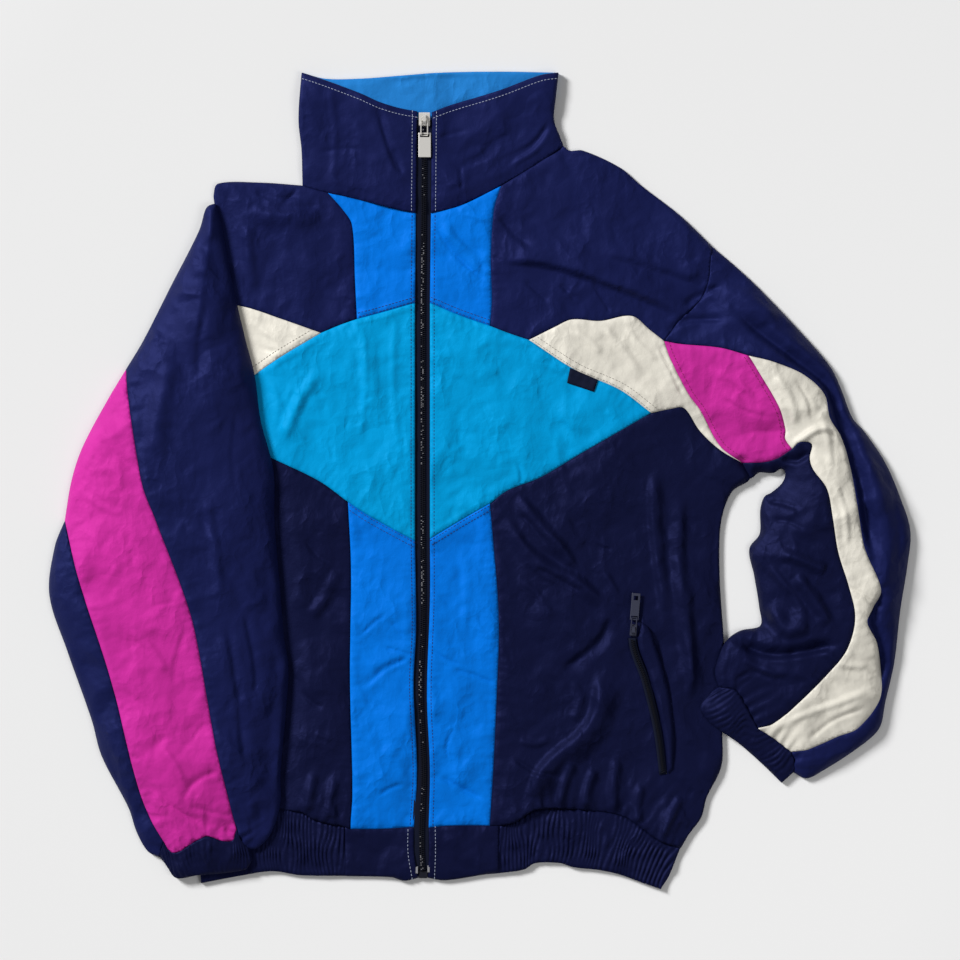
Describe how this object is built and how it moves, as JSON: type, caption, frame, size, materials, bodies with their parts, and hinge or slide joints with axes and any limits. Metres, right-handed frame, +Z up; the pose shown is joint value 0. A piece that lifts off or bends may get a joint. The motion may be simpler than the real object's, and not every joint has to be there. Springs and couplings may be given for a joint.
{
  "type": "track jacket",
  "caption": "Colour-blocked nylon track jacket laid flat, with stand collar, full front zip, zipped pocket and elastic cuffs and hem.",
  "frame": {"origin": "centre of the laid-out jacket's outline, on the surface that it lies on", "axes": "+X to the right of the picture, across the chest; +Y from the hem towards the collar; +Z up out of the surface"},
  "size_m": [0.8602, 0.8166, 0.0294],
  "materials": {
    "navy_nylon": "crinkled nylon with a soft sheen",
    "royal_nylon": "crinkled nylon with a soft sheen",
    "turquoise_nylon": "crinkled nylon with a soft sheen",
    "magenta_nylon": "crinkled nylon with a soft sheen",
    "pale_nylon": "crinkled nylon with a soft sheen",
    "zip_tape": "woven tape",
    "brushed_steel": "satin",
    "lacquered_metal": "grey-blue lacquer"
  },
  "bodies": {
    "jacket": {"back": "navy_nylon", "hem_back": "navy_nylon", "shoulder_left": "navy_nylon", "shoulder_right": "navy_nylon", "chest_strip_left": "royal_nylon", "chest_strip_right": "royal_nylon", "chest_band_left": "pale_nylon", "chest_band_right": "pale_nylon", "diamond_left": "turquoise_nylon", "diamond_right": "turquoise_nylon", "front_left": "navy_nylon", "front_right": "navy_nylon", "waist_strip_left": "royal_nylon", "waist_strip_right": "royal_nylon", "hem_facing_left": "navy_nylon", "hem_facing_right": "navy_nylon", "hem_elastic_left": "navy_nylon", "hem_elastic_right": "navy_nylon", "collar_back": "navy_nylon", "collar_lining": "royal_nylon", "collar_left": "navy_nylon", "collar_right": "navy_nylon", "cuff_left": "navy_nylon", "cuff_left_under": "navy_nylon", "cuff_right": "navy_nylon", "cuff_right_under": "navy_nylon", "sleeve_left_under": "navy_nylon", "sleeve_left_front": "navy_nylon", "sleeve_left_stripe": "magenta_nylon", "sleeve_left_back": "navy_nylon", "sleeve_right_under": "navy_nylon", "sleeve_right_top": "navy_nylon", "sleeve_right_magenta": "magenta_nylon", "sleeve_right_white": "pale_nylon", "sleeve_right_inner": "navy_nylon", "zip_tape_left": "zip_tape", "zip_tape_right": "zip_tape", "zip_chain": "zip_tape", "zip_box": "zip_tape", "zip_slider": "brushed_steel", "pocket_tape": "zip_tape", "pocket_chain": "zip_tape", "pocket_welt": "navy_nylon", "pocket_slider": "lacquered_metal", "seam_label": "navy_nylon"},
    "front_pull": {"zip_pull_link": "brushed_steel", "zip_pull_tab": "brushed_steel"},
    "pocket_pull": {"pocket_pull_link": "lacquered_metal", "pocket_pull_tab": "lacquered_metal"}
  },
  "joints": [
    {"name": "front_pull_hinge", "type": "hinge", "parent": "jacket", "child": "front_pull", "pos_m": [-0.05559, 0.3597, 0.01415], "axis": [-1, 0, 0], "range_deg": [0, 140]},
    {"name": "pocket_pull_hinge", "type": "hinge", "parent": "jacket", "child": "pocket_pull", "pos_m": [0.15325, -0.1489, 0.01215], "axis": [0.9969, -0.0785, 0], "range_deg": [0, 140]}
  ]
}
